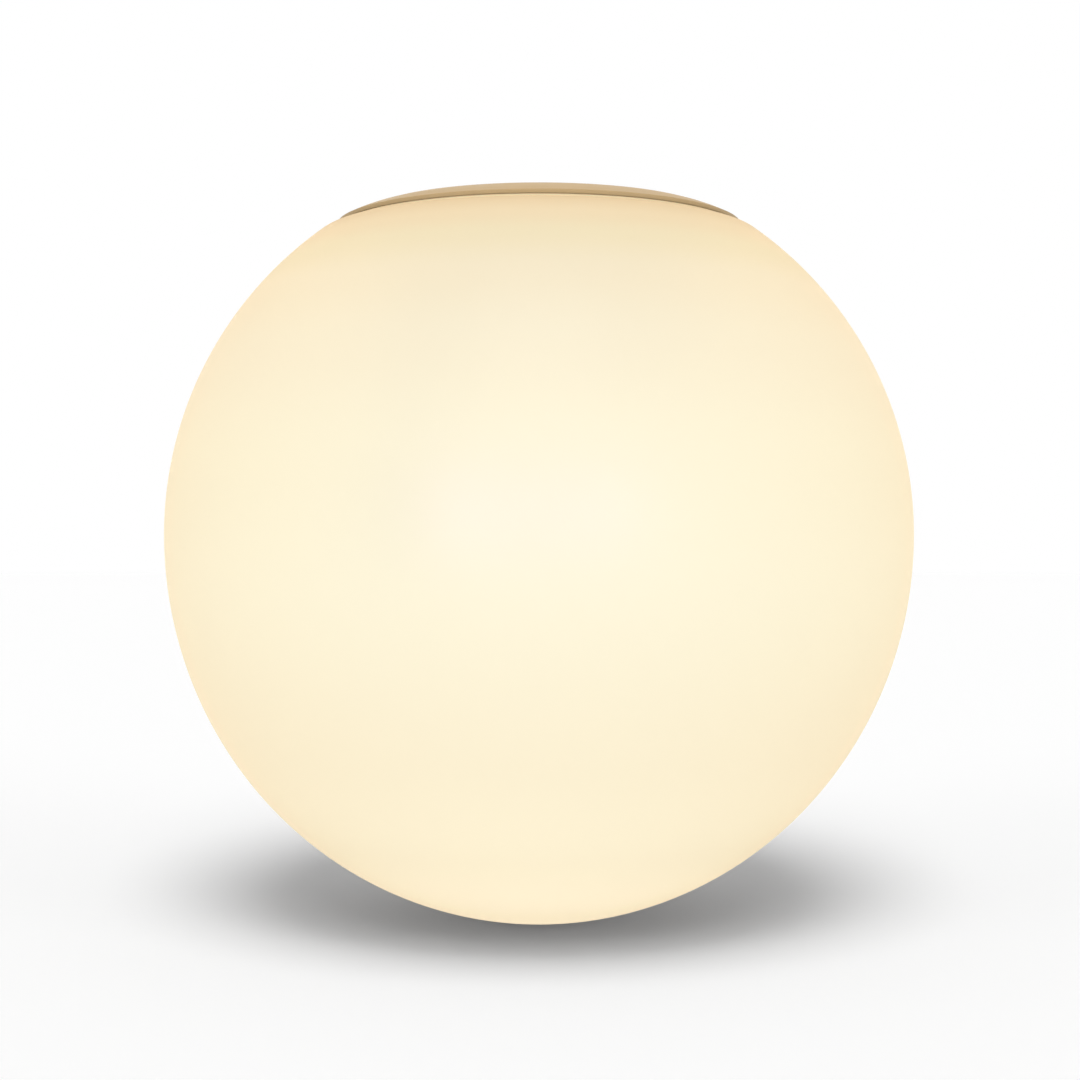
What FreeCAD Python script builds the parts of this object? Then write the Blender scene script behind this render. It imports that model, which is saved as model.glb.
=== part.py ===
import FreeCAD, Part
import math
import os

# Globe wall light, lengths in millimetres. The wall plane is z = 0 and the light hangs below it.
# The globe's axis is Z, and the lamp lies along X.

# Wall bracket: the two slots set the size of everything round the neck
slot_spacing = 50.8
slot_length = 8.0
slot_width = 4.4
slot_edge = 2.0
bracket_thickness = 1.5
bracket_clearance = 0.6
ear_angle = 120.0
ear_width = 10.0
ear_bend_radius = 1.0
ear_screw_reach = 8.5
ear_foot_end = 5.0
ear_root_overlap = 2.0

# Base housing
spigot_wall = 2.5
housing_depth = 20.0
floor_thickness = 2.0
spigot_corner_round = 1.5
rim_depth = 3.1
rim_cover = 2.7
rim_slope_width = 5.9
rim_foot_height = 0.8
rim_bulge = 0.15

# Glass globe
globe_radius = 75.0
globe_lower_height = 78.0
glass_wall = 2.5
shoulder_round = 6.0
land_width = 1.8
lip_gap = 3.7

# Silicone seat ring between the rim and the glass
gasket_thickness = 0.6
gasket_setback = 0.3
gasket_sleeve_wall = 0.8
gasket_sleeve_height = 2.3

# Leaf springs that hold the glass behind its lip
clip_count = 3
clip_first_angle = 90.0
clip_thickness = 0.4
clip_width = 7.0
clip_reach = 1.6
clip_gap = 0.15
clip_ramp_angle = 45.0
clip_ramp_length = 4.1
clip_bend_radius = 1.2
clip_seat_length = 5.2
clip_end_gap = 0.2
clip_flat_depth = 0.3
clip_flat_rise = 1.0
rivet_radius = 0.9
rivet_head_radius = 1.6
rivet_head_height = 0.7
rivet_spacing = 3.6

# Screws and nuts
m4_radius = 2.0
m4_head_radius = 4.0
m4_head_height = 2.6
m3_radius = 1.5
m3_head_radius = 2.75
m3_head_height = 1.9
m3_nut_radius = 3.2
m3_nut_height = 2.4
screw_clearance = 0.25
thread_clearance = 0.05
screw_end = 1.5
clinch_nut_radius = 3.5
clinch_nut_height = 3.0
recess_width = 0.9
recess_length_share = 0.62
recess_depth_share = 0.55
head_round_share = 0.45

# Cable bushing in the wall bracket
bushing_bore_radius = 4.2
bushing_wall = 1.5
bushing_flange_width = 1.8
bushing_flange_thickness = 1.5
bushing_tail = 1.5
bushing_offset = 17.0
bushing_angle = 240.0

# Terminal block on the housing floor
block_width = 15.0
block_base_height = 6.0
block_height = 11.5
pole_spacing = 10.0
tower_width = 6.4
block_end = 1.5
clamp_radius = 2.1
clamp_wall = 0.6
clamp_recess = 0.8
pole_height = 5.0
pole_screw_radius = 1.25
pole_screw_spacing = 7.0
pole_screw_inset = 1.2
pole_slot_width = 0.6
block_screw_radius = 1.25
block_screw_head_radius = 1.9
block_screw_head_height = 1.4

# Earth terminal on the housing floor
earth_boss_radius = 4.5
earth_boss_height = 3.0
earth_gap = 5.3
saddle_radius = 4.2
saddle_thickness = 1.0
lock_washer_thickness = 0.6
lock_washer_tooth = 0.7
lock_washer_teeth = 12

# Bracket that carries the lampholder
leg_inset = 1.0
leg_thickness = 1.5
leg_width = 17.0
leg_bend_radius = 1.5
leg_tail = 1.2
plate_screw_gap = 4.3
plate_screw_spacing = 10.0
plate_edge = 5.5

# Lampholder
insulator_thickness = 0.5
holder_depth = 10.0
holder_width = 18.0
holder_height = 9.5
holder_flange_thickness = 3.0
holder_flange_width = 10.0
holder_flange_edge = 2.6
holder_round = 1.0
holder_head_gap = 0.2
socket_clearance = 0.4
contact_thickness = 0.4
contact_gap = 0.2
contact_front_gap = 1.0
lead_port_setback = 1.5

# Lamp: two-pin, 9 mm apart
lamp_rise = 5.0
lamp_seat_gap = 0.3
lamp_radius = 7.5
lamp_base_length = 10.0
lamp_cover_length = 32.0
lamp_cover_wall = 0.8
lamp_cover_fit = 0.05
lamp_base_spigot = 3.0
lamp_base_round = 0.8
pin_spacing = 9.0
pin_wire_radius = 0.5
pin_loop_width = 2.2
pin_length = 6.5
pin_embed = 2.0
board_thickness = 1.2
board_width = 9.0
board_length = 25.0
board_embed = 2.5
chip_length = 3.0
chip_width = 2.0
chip_thickness = 0.7
chip_rows = 2
chips_per_row = 5
chip_row_spacing = 4.2
chip_end_margin = 1.6

# Leads and the grommet that takes them through the floor
lead_radius = 0.9
lead_spacing = 2.4
lead_port_clearance = 0.15
ferrule_radius = 0.75
ferrule_length = 6.0
ferrule_collar_radius = 1.35
ferrule_collar_length = 2.0
grommet_bore_radius = 2.4
grommet_wall = 1.5
grommet_flange_width = 1.5
grommet_flange_thickness = 1.2

# Extra length of every cutter past the face that it opens
overrun = 5.0


# Sizes that follow from those above
plate_radius = slot_spacing / 2 + slot_length / 2 + slot_edge
chamber_radius = plate_radius + bracket_clearance
spigot_radius = chamber_radius + spigot_wall
lip_inner_radius = spigot_radius + lip_gap
rim_radius = lip_inner_radius + rim_cover
face_radius = rim_radius - rim_slope_width

floor_bottom = -housing_depth
floor_top = floor_bottom + floor_thickness
gasket_top = -rim_depth
lip_top = gasket_top - gasket_thickness
lip_centre_level = lip_top - glass_wall / 2

land_radius = lip_inner_radius + glass_wall / 2 + land_width
shoulder_height = math.sqrt((globe_radius - shoulder_round) ** 2 - land_radius ** 2)
equator_level = lip_top - shoulder_round - shoulder_height
lamp_level = equator_level + lamp_rise

block_length = pole_spacing + tower_width + 2 * block_end
block_top = floor_top + block_height
pole_level = floor_top + pole_height

leg_outer_x = leg_inset - spigot_radius
leg_inner_x = leg_outer_x + leg_thickness
bracket_underside = floor_bottom - leg_thickness
plate_screw_x = -block_length / 2 - plate_screw_gap
lead_hole_x = (leg_inner_x + plate_screw_x) / 2
holder_back_x = leg_inner_x + insulator_thickness
holder_front_x = holder_back_x + holder_depth
holder_screw_offset = holder_height / 2 + m3_head_radius + holder_head_gap
holder_flange_half = holder_screw_offset + holder_flange_edge
contact_y = pin_spacing / 2 + pin_wire_radius + contact_gap + contact_thickness / 2
contact_height = pin_loop_width + 2 * (pin_wire_radius + socket_clearance)
lead_port_x = holder_back_x + holder_flange_thickness + lead_port_setback
socket_start_x = lead_port_x - lead_radius - lead_port_clearance
lamp_back_x = holder_front_x + lamp_seat_gap
lamp_shoulder_x = lamp_back_x + lamp_base_length
lamp_tip_x = lamp_shoulder_x + lamp_cover_length

ear_leg_outer = math.sqrt(plate_radius ** 2 - (ear_width / 2) ** 2)
ear_leg_inner = ear_leg_outer - bracket_thickness
ear_screw_offset = ear_leg_inner - ear_screw_reach

X = FreeCAD.Vector(1, 0, 0)
Y = FreeCAD.Vector(0, 1, 0)
Z = FreeCAD.Vector(0, 0, 1)
ORIGIN = FreeCAD.Vector(0, 0, 0)


def point(x, y, z):
    return FreeCAD.Vector(x, y, z)


def line(start, end):
    return Part.LineSegment(start, end).toShape()


def arc(start, middle, end):
    return Part.Arc(start, middle, end).toShape()


def cylinder(radius, bottom, top, x=0, y=0):
    return Part.makeCylinder(radius, top - bottom, point(x, y, bottom))


def cylinder_x(radius, start, end, y, z):
    return Part.makeCylinder(radius, end - start, point(start, y, z), X)


def cylinder_y(radius, start, end, x, z):
    return Part.makeCylinder(radius, end - start, point(x, start, z), Y)


def block(x_low, x_high, y_low, y_high, z_low, z_high):
    return Part.makeBox(x_high - x_low, y_high - y_low, z_high - z_low, point(x_low, y_low, z_low))


def joined(shapes):
    return shapes[0].multiFuse(shapes[1:]).removeSplitter() if len(shapes) > 1 else shapes[0]


def turned(shape, angle):
    copy = shape.copy()
    copy.rotate(ORIGIN, Z, angle)
    return copy


def polar(offset, angle):
    return offset * math.cos(math.radians(angle)), offset * math.sin(math.radians(angle))


def spun(edges):
    """Solid of revolution about Z of a closed outline in the XZ plane."""
    outline = Part.Face(Part.Wire(Part.__sortEdges__(edges)))
    return outline.revolve(ORIGIN, Z, 360)


def spun_outline(corners):
    points = [point(radius, 0, level) for radius, level in corners]
    return spun([line(a, b) for a, b in zip(points, points[1:] + points[:1])])


def slot_cutter(length, width, low, high, x, y):
    """Upright slot along X, rounded at both ends."""
    reach = length / 2 - width / 2
    middle = block(x - reach, x + reach, y - width / 2, y + width / 2, low, high)
    ends = [cylinder(width / 2, low, high, x + side * reach, y) for side in (-1, 1)]
    return joined([middle] + ends)


def bend(before, corner, after, radius):
    """Start, middle, end and centre of the arc that rounds a corner."""
    back = (before - corner).normalize()
    ahead = (after - corner).normalize()
    half_angle = back.getAngle(ahead) / 2
    centre = corner + (back + ahead).normalize() * (radius / math.sin(half_angle))
    cut_back = radius / math.tan(half_angle)
    middle = centre + (corner - centre).normalize() * radius
    return corner + back * cut_back, middle, corner + ahead * cut_back, centre


def bent_strip(corners, radius, thickness, width):
    """Sheet strip whose middle line runs through corners in the XZ plane, bent at each inner corner."""
    chains = []
    for side in (-1, 1):
        shift = side * thickness / 2
        edges = []
        heading = (corners[1] - corners[0]).normalize()
        current = corners[0] + heading.cross(Y) * shift
        for before, corner, after in zip(corners, corners[1:], corners[2:]):
            start, middle, end, centre = bend(before, corner, after, radius)
            inward = (corner - before).cross(Y).dot(centre - corner) > 0
            share = 1 - shift / radius if inward else 1 + shift / radius
            start, middle, end = [centre + (place - centre) * share for place in (start, middle, end)]
            edges.append(line(current, start))
            edges.append(arc(start, middle, end))
            current = end
        heading = (corners[-1] - corners[-2]).normalize()
        last = corners[-1] + heading.cross(Y) * shift
        edges.append(line(current, last))
        first = edges[0].Vertexes[0].Point
        chains.append((edges, first, last))
    caps = [line(chains[0][1], chains[1][1]), line(chains[0][2], chains[1][2])]
    outline = Part.Face(Part.Wire(Part.__sortEdges__(chains[0][0] + chains[1][0] + caps)))
    outline.translate(Y * (-width / 2))
    return outline.extrude(Y * width)


def tube(name, corners, tube_radius, radii):
    """Round lead along straight runs joined by tangent arcs."""
    seam_share = 1e-4
    edges = []
    current = corners[0]
    for before, corner, after, radius in zip(corners, corners[1:], corners[2:], radii):
        start, middle, end, centre = bend(before, corner, after, radius)
        if (start - current).Length > seam_share * radius:
            edges.append(line(current, start))
        edges.append(arc(start, middle, end))
        current = end
    edges.append(line(current, corners[-1]))
    path = Part.Wire(edges)
    section = Part.Wire(Part.makeCircle(tube_radius, corners[0], corners[1] - corners[0]))
    solid = path.makePipeShell([section], True, False)
    expected = math.pi * tube_radius ** 2 * path.Length
    print(name, "radii", [round(radius, 2) for radius in radii], "length", round(path.Length, 1),
          "volume over section times length", round(solid.Volume / expected, 4))
    return solid


def run_radii(corners):
    """The largest arcs that the runs allow: each takes up to 0.45 of the shorter run beside it."""
    run_share = 0.45
    radii = []
    for before, corner, after in zip(corners, corners[1:], corners[2:]):
        half_turn = (corner - before).getAngle(after - corner) / 2
        shorter = min((corner - before).Length, (after - corner).Length)
        radii.append(run_share * shorter / math.tan(half_turn))
    return radii


def screw(place, out, radius, length, head_radius, head_height):
    """Pan-head screw with a cross recess; out points from its seat through its head."""
    head = Part.makeCylinder(head_radius, head_height)
    top_edges = [edge for edge in head.Edges if edge.Vertexes[0].Point.z > head_height / 2
                 and edge.Vertexes[-1].Point.z > head_height / 2]
    head = head.makeFillet(head_round_share * head_height, top_edges)
    shank = Part.makeCylinder(radius, length, ORIGIN, -Z)
    solid = joined([head, shank])
    reach = recess_length_share * head_radius
    depth = recess_depth_share * head_height
    bar = block(-reach, reach, -recess_width / 2, recess_width / 2, head_height - depth, head_height + overrun)
    solid = solid.cut([bar, turned(bar, 90)])
    solid.Placement = FreeCAD.Placement(place, FreeCAD.Rotation(Z, out))
    return solid


def write(node, shape):
    solids = shape.Solids
    if not shape.isValid():
        print("INVALID", node)
    print(node, "solids", len(solids), "volume", round(shape.Volume, 1))
    shape.exportStep(os.path.join("parts", node + ".step"))


def wall_bracket():
    plate = cylinder(plate_radius, -bracket_thickness, 0)
    ear_flat = ear_leg_inner - ear_bend_radius
    sheet_middle = -bracket_thickness / 2
    leg_middle = ear_leg_outer - bracket_thickness / 2
    foot_middle = floor_top + bracket_thickness / 2
    foot_start = ear_screw_offset - ear_foot_end
    route = [point(ear_flat - ear_root_overlap, 0, sheet_middle), point(leg_middle, 0, sheet_middle),
             point(leg_middle, 0, foot_middle), point(foot_start, 0, foot_middle)]
    ear = bent_strip(route, ear_bend_radius + bracket_thickness / 2, bracket_thickness, ear_width)
    hole = cylinder(m4_radius + screw_clearance, floor_top - overrun, floor_top + bracket_thickness,
                    ear_screw_offset)
    ear = ear.cut(hole)
    trimmer = block(ear_flat, plate_radius + overrun, -plate_radius, plate_radius, -overrun, overrun)
    for angle in (ear_angle, ear_angle + 180):
        plate = plate.cut(turned(trimmer, angle))
    for angle in (ear_angle, ear_angle + 180):
        plate = plate.fuse(turned(ear, angle))
    for side in (-1, 1):
        plate = plate.cut(slot_cutter(slot_length, slot_width, -overrun, overrun, side * slot_spacing / 2, 0))
    bushing_x, bushing_y = polar(bushing_offset, bushing_angle)
    plate = plate.cut(cylinder(bushing_bore_radius + bushing_wall, -overrun, overrun, bushing_x, bushing_y))
    return plate.removeSplitter()


def ear_screw_places():
    return [polar(ear_screw_offset, angle) for angle in (ear_angle, ear_angle + 180)]


def clinch_nuts():
    bottom = floor_top + bracket_thickness
    nuts = []
    for x, y in ear_screw_places():
        collar = cylinder(clinch_nut_radius, bottom, bottom + clinch_nut_height, x, y)
        bore = cylinder(m4_radius + thread_clearance, bottom - overrun, bottom + overrun, x, y)
        nuts.append(collar.cut(bore))
    return Part.makeCompound(nuts)


def housing_screws():
    length = floor_thickness + bracket_thickness + clinch_nut_height + screw_end
    return Part.makeCompound([
        screw(point(x, y, floor_bottom), -Z, m4_radius, length, m4_head_radius, m4_head_height)
        for x, y in ear_screw_places()])


def cable_bushing():
    outer = bushing_bore_radius + bushing_wall
    flange = outer + bushing_flange_width
    flange_bottom = -bracket_thickness - bushing_flange_thickness
    tail_bottom = flange_bottom - bushing_tail
    solid = spun_outline([
        (bushing_bore_radius, 0), (outer, 0), (outer, -bracket_thickness), (flange, -bracket_thickness),
        (flange, flange_bottom), (outer, flange_bottom), (outer, tail_bottom),
        (bushing_bore_radius, tail_bottom)])
    x, y = polar(bushing_offset, bushing_angle)
    solid.translate(point(x, y, 0))
    return solid


def clip_levels():
    """Level of the clip's lower end and of its bend away from the spigot."""
    low = floor_bottom + spigot_corner_round + clip_end_gap
    return low, low + clip_seat_length


def clip_angles():
    return [clip_first_angle + 360 / clip_count * index for index in range(clip_count)]


def rivet_axis_places():
    low, high = clip_levels()
    return [(side * rivet_spacing / 2, (low + high) / 2) for side in (-1, 1)]


def base_housing():
    rim_top_foot = rim_foot_height - rim_depth
    crown = point(face_radius, 0, 0)
    foot = point(rim_radius, 0, rim_top_foot)
    chord = foot - crown
    outward = Y.cross(chord).normalize()
    if outward.x < 0:
        outward = -outward
    crest = (crown + foot) / 2 + outward * rim_bulge
    corner_centre = point(spigot_radius - spigot_corner_round, 0, floor_bottom + spigot_corner_round)
    diagonal = (X - Z).normalize() * spigot_corner_round
    corner_start = corner_centre + X * spigot_corner_round
    corner_end = corner_centre - Z * spigot_corner_round
    edges = [
        line(point(chamber_radius, 0, 0), crown),
        arc(crown, crest, foot),
        line(foot, point(rim_radius, 0, -rim_depth)),
        line(point(rim_radius, 0, -rim_depth), point(spigot_radius, 0, -rim_depth)),
        line(point(spigot_radius, 0, -rim_depth), corner_start),
        arc(corner_start, corner_centre + diagonal, corner_end),
        line(corner_end, point(0, 0, floor_bottom)),
        line(point(0, 0, floor_bottom), point(0, 0, floor_top)),
        line(point(0, 0, floor_top), point(chamber_radius, 0, floor_top)),
        line(point(chamber_radius, 0, floor_top), point(chamber_radius, 0, 0)),
    ]
    solid = spun(edges)
    solid = solid.fuse(cylinder(earth_boss_radius, floor_top, floor_top + earth_boss_height, earth_place()))

    low = floor_bottom - overrun
    high = floor_top + overrun
    holes = [cylinder(m4_radius + screw_clearance, low, high, x, y) for x, y in ear_screw_places()]
    for side in (-1, 1):
        holes.append(cylinder(m3_radius + thread_clearance, low, high, plate_screw_x,
                              side * plate_screw_spacing / 2))
    holes.append(cylinder(block_screw_radius + thread_clearance, low, high))
    holes.append(cylinder(grommet_bore_radius + grommet_wall, low, high, lead_hole_x))
    holes.append(cylinder(m4_radius + thread_clearance, low, high + earth_boss_height, earth_place()))
    clip_low, clip_high = clip_levels()
    flat_x = spigot_radius - clip_flat_depth
    for angle in clip_angles():
        flat = block(flat_x, spigot_radius + overrun, -spigot_radius, spigot_radius, low,
                     clip_high + clip_flat_rise)
        holes.append(turned(flat, angle))
        for y, z in rivet_axis_places():
            hole = cylinder_x(rivet_radius, chamber_radius - overrun, spigot_radius + overrun, y, z)
            holes.append(turned(hole, angle))
    return solid.cut(holes).removeSplitter()


def globe_gasket():
    outer = rim_radius - gasket_setback
    sleeve = spigot_radius + gasket_sleeve_wall
    sleeve_bottom = lip_top - gasket_sleeve_height
    return spun_outline([
        (spigot_radius, gasket_top), (outer, gasket_top), (outer, lip_top), (sleeve, lip_top),
        (sleeve, sleeve_bottom), (spigot_radius, sleeve_bottom)])


def clip_route():
    """Middle line of a clip in the XZ plane: seat, knee behind the lip, ramp past the lip."""
    angle = math.radians(clip_ramp_angle)
    slope = point(-math.cos(angle), 0, math.sin(angle))
    facing = point(math.sin(angle), 0, math.cos(angle))
    lip_centre_radius = lip_inner_radius + glass_wall / 2
    lip_centre_x = math.sqrt(lip_centre_radius ** 2 - (clip_width / 2) ** 2)
    lip_centre = point(lip_centre_x, 0, lip_centre_level)
    distance = glass_wall / 2 + clip_thickness / 2 + clip_gap
    closest = lip_centre - facing * distance
    knee_x = lip_inner_radius + clip_reach
    knee = closest - slope * ((knee_x - closest.x) / math.cos(angle))
    seat_x = spigot_radius - clip_flat_depth + clip_thickness / 2
    low, high = clip_levels()
    return [point(seat_x, 0, low), point(seat_x, 0, high), knee, knee + slope * clip_ramp_length]


def spring_clip(angle):
    clip = bent_strip(clip_route(), clip_bend_radius, clip_thickness, clip_width)
    for y, z in rivet_axis_places():
        clip = clip.cut(cylinder_x(rivet_radius, chamber_radius - overrun, spigot_radius + overrun, y, z))
    return turned(clip, angle)


def clip_rivets():
    outer_seat = spigot_radius - clip_flat_depth + clip_thickness
    rivets = []
    for y, z in rivet_axis_places():
        inner_seat = math.sqrt(chamber_radius ** 2 - (abs(y) + rivet_head_radius) ** 2)
        shank = cylinder_x(rivet_radius, inner_seat, outer_seat, y, z)
        outer_head = cylinder_x(rivet_head_radius, outer_seat, outer_seat + rivet_head_height, y, z)
        inner_head = cylinder_x(rivet_head_radius, inner_seat - rivet_head_height, inner_seat, y, z)
        rivets.append(joined([shank, outer_head, inner_head]))
    return Part.makeCompound([turned(rivet, angle) for angle in clip_angles() for rivet in rivets])


def scaled_quarter(centre, across, down):
    """Quarter ellipse from the widest point to the lowest one."""
    diagonal = across * math.sqrt(0.5)
    quarter = arc(point(across, 0, 0), point(diagonal, 0, -diagonal), point(0, 0, -across))
    stretch = FreeCAD.Matrix()
    stretch.scale(1, 1, down / across)
    quarter = quarter.transformGeometry(stretch)
    quarter.translate(centre)
    return quarter


def glass_globe():
    centre = point(0, 0, equator_level)
    shoulder = point(land_radius, 0, equator_level + shoulder_height)
    out = (shoulder - centre).normalize()
    inner_radius = globe_radius - glass_wall
    inner_height = globe_lower_height - glass_wall
    lip_middle_x = lip_inner_radius + glass_wall / 2
    edges = [scaled_quarter(centre, globe_radius, globe_lower_height),
             scaled_quarter(centre, inner_radius, inner_height)]
    for radius in (globe_radius, inner_radius):
        shoulder_radius = radius - globe_radius + shoulder_round
        tangent = centre + out * radius
        halfway = (X + out).normalize() * radius + centre
        edges.append(arc(centre + X * radius, halfway, tangent))
        shoulder_middle = shoulder + (out + Z).normalize() * shoulder_radius
        shoulder_end = shoulder + Z * shoulder_radius
        edges.append(arc(tangent, shoulder_middle, shoulder_end))
        edges.append(line(shoulder_end, point(lip_middle_x, 0, shoulder_end.z)))
    edges.append(arc(point(lip_middle_x, 0, lip_top), point(lip_inner_radius, 0, lip_centre_level),
                     point(lip_middle_x, 0, lip_top - glass_wall)))
    edges.append(line(centre - Z * globe_lower_height, centre - Z * inner_height))
    return spun(edges)


def lamp_bracket():
    sheet_middle = floor_bottom - leg_thickness / 2
    leg_middle = leg_outer_x + leg_thickness / 2
    plate_end = plate_screw_x + plate_edge
    leg_bottom = lamp_level - holder_flange_half - leg_tail
    route = [point(plate_end, 0, sheet_middle), point(leg_middle, 0, sheet_middle),
             point(leg_middle, 0, leg_bottom)]
    solid = bent_strip(route, leg_bend_radius + leg_thickness / 2, leg_thickness, leg_width)
    low = bracket_underside - overrun
    solid = solid.cut(cylinder(grommet_bore_radius + grommet_wall, low, floor_bottom + overrun, lead_hole_x))
    for side in (-1, 1):
        solid = solid.cut(cylinder(m3_radius + screw_clearance, low, floor_bottom + overrun, plate_screw_x,
                                   side * plate_screw_spacing / 2))
        solid = solid.cut(holder_screw_cutter(side, m3_radius + screw_clearance))
    return solid


def holder_screw_cutter(side, radius):
    return cylinder_x(radius, leg_outer_x - overrun, holder_front_x, 0, lamp_level + side * holder_screw_offset)


def lamp_bracket_screws():
    length = leg_thickness + floor_thickness + screw_end
    return Part.makeCompound([
        screw(point(plate_screw_x, side * plate_screw_spacing / 2, bracket_underside), -Z, m3_radius, length,
              m3_head_radius, m3_head_height) for side in (-1, 1)])


def lead_grommet():
    outer = grommet_bore_radius + grommet_wall
    flange = outer + grommet_flange_width
    solid = spun_outline([
        (grommet_bore_radius, floor_top + grommet_flange_thickness),
        (flange, floor_top + grommet_flange_thickness), (flange, floor_top), (outer, floor_top),
        (outer, bracket_underside), (flange, bracket_underside),
        (flange, bracket_underside - grommet_flange_thickness),
        (grommet_bore_radius, bracket_underside - grommet_flange_thickness)])
    solid.translate(X * lead_hole_x)
    return solid


def lampholder_insulator():
    sheet = block(leg_inner_x, holder_back_x, -holder_width / 2, holder_width / 2,
                  lamp_level - holder_height / 2, lamp_level + holder_height / 2)
    tongue = block(leg_inner_x, holder_back_x, -holder_flange_width / 2, holder_flange_width / 2,
                   lamp_level - holder_flange_half, lamp_level + holder_flange_half)
    solid = joined([sheet, tongue])
    for side in (-1, 1):
        solid = solid.cut(holder_screw_cutter(side, m3_radius + screw_clearance))
    return solid


def lampholder_body():
    body = block(holder_back_x, holder_front_x, -holder_width / 2, holder_width / 2,
                 lamp_level - holder_height / 2, lamp_level + holder_height / 2)
    body = body.makeFillet(holder_round, [edge for edge in body.Edges
                                          if abs(edge.tangentAt(edge.FirstParameter).x) > 0.5])
    flange = block(holder_back_x, holder_back_x + holder_flange_thickness,
                   -holder_flange_width / 2, holder_flange_width / 2,
                   lamp_level - holder_flange_half, lamp_level + holder_flange_half)
    body = joined([body, flange])
    inner_y = pin_spacing / 2 - pin_wire_radius - socket_clearance
    outer_y = contact_y + contact_thickness / 2
    port_radius = lead_radius + lead_port_clearance
    for side in (-1, 1):
        low_y, high_y = sorted((side * inner_y, side * outer_y))
        body = body.cut(block(socket_start_x, holder_front_x + overrun, low_y, high_y,
                              lamp_level - contact_height / 2, lamp_level + contact_height / 2))
        body = body.cut(cylinder(port_radius, lamp_level, lamp_level + holder_height, lead_port_x,
                                 side * contact_y))
        body = body.cut(holder_screw_cutter(side, m3_radius + screw_clearance))
    return body


def lampholder_contacts():
    strips = []
    for side in (-1, 1):
        middle = side * contact_y
        strips.append(block(socket_start_x, holder_front_x - contact_front_gap,
                            middle - contact_thickness / 2, middle + contact_thickness / 2,
                            lamp_level - contact_height / 2, lamp_level + contact_height / 2))
    return Part.makeCompound(strips)


def lampholder_screws():
    seat_x = holder_back_x + holder_flange_thickness
    length = seat_x - leg_outer_x + m3_nut_height + screw_end
    return Part.makeCompound([
        screw(point(seat_x, 0, lamp_level + side * holder_screw_offset), X, m3_radius, length,
              m3_head_radius, m3_head_height) for side in (-1, 1)])


def lampholder_nuts():
    nuts = []
    for side in (-1, 1):
        level = lamp_level + side * holder_screw_offset
        corners = [point(leg_outer_x, m3_nut_radius * math.cos(math.radians(angle)),
                         level + m3_nut_radius * math.sin(math.radians(angle))) for angle in range(0, 361, 60)]
        nut = Part.Face(Part.makePolygon(corners)).extrude(-X * m3_nut_height)
        nuts.append(nut.cut(cylinder_x(m3_radius + thread_clearance, leg_outer_x - overrun, leg_outer_x, 0,
                                       level)))
    return Part.makeCompound(nuts)


def pole_places():
    return [side * pole_spacing / 2 for side in (-1, 1)]


def terminal_body():
    half_length = block_length / 2
    half_width = block_width / 2
    body = block(-half_length, half_length, -half_width, half_width, floor_top, floor_top + block_base_height)
    for x in pole_places():
        tower = block(x - tower_width / 2, x + tower_width / 2, -half_width, half_width, floor_top, block_top)
        body = body.fuse(tower)
    cutters = [cylinder(block_screw_radius + screw_clearance, floor_top - overrun, block_top + overrun),
               cylinder(block_screw_head_radius + screw_clearance, floor_top + block_base_height,
                        block_top + overrun)]
    for x in pole_places():
        cutters.append(cylinder_y(clamp_radius, -half_width - overrun, half_width + overrun, x, pole_level))
        for side in (-1, 1):
            cutters.append(cylinder(pole_screw_radius + screw_clearance, pole_level, block_top + overrun, x,
                                    side * pole_screw_spacing / 2))
    return body.cut(cutters).removeSplitter()


def terminal_clamps():
    clamps = []
    reach = block_width / 2 - clamp_recess
    for x in pole_places():
        clamp = cylinder_y(clamp_radius, -reach, reach, x, pole_level)
        clamp = clamp.cut(cylinder_y(clamp_radius - clamp_wall, -block_width, block_width, x, pole_level))
        for side in (-1, 1):
            clamp = clamp.cut(cylinder(pole_screw_radius + thread_clearance, pole_level, block_top, x,
                                       side * pole_screw_spacing / 2))
        clamps.append(clamp)
    return Part.makeCompound(clamps)


def terminal_screws():
    """Headless clamp screws: the two on the lead side press the ferrules."""
    screws = []
    top = block_top - pole_screw_inset
    for x in pole_places():
        for side in (-1, 1):
            y = side * pole_screw_spacing / 2
            bottom = pole_level + ferrule_radius
            pin = cylinder(pole_screw_radius, bottom, top, x, y)
            groove = block(x - pole_screw_radius, x + pole_screw_radius, y - pole_slot_width / 2,
                           y + pole_slot_width / 2, top - pole_screw_radius, top + overrun)
            screws.append(pin.cut(groove))
    return Part.makeCompound(screws)


def terminal_fixing_screw():
    seat = floor_top + block_base_height
    return screw(point(0, 0, seat), Z, block_screw_radius, block_base_height + floor_thickness,
                 block_screw_head_radius, block_screw_head_height)


def earth_place():
    return block_length / 2 + earth_gap + earth_boss_radius


def earth_lock_washer():
    """Toothed ring under the saddle."""
    low = floor_top + earth_boss_height
    high = low + lock_washer_thickness
    x = earth_place()
    ring = cylinder(saddle_radius - lock_washer_tooth, low, high, x)
    teeth = []
    for index in range(lock_washer_teeth):
        tooth = block(0, saddle_radius, -lock_washer_tooth / 2, lock_washer_tooth / 2, low, high)
        tooth = turned(tooth, 360 / lock_washer_teeth * index)
        tooth.translate(X * x)
        teeth.append(tooth)
    solid = ring.multiFuse(teeth)
    return solid.cut(cylinder(m4_radius + screw_clearance, low - overrun, high + overrun, x)).removeSplitter()


def earth_saddle():
    low = floor_top + earth_boss_height + lock_washer_thickness
    high = low + saddle_thickness
    x = earth_place()
    return cylinder(saddle_radius, low, high, x).cut(
        cylinder(m4_radius + screw_clearance, low - overrun, high + overrun, x))


def earth_screw():
    seat = floor_top + earth_boss_height + lock_washer_thickness + saddle_thickness
    return screw(point(earth_place(), 0, seat), Z, m4_radius, seat - floor_bottom, m4_head_radius,
                 m4_head_height)


def ferrule_start_y():
    return block_width / 2 + ferrule_collar_length


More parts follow.
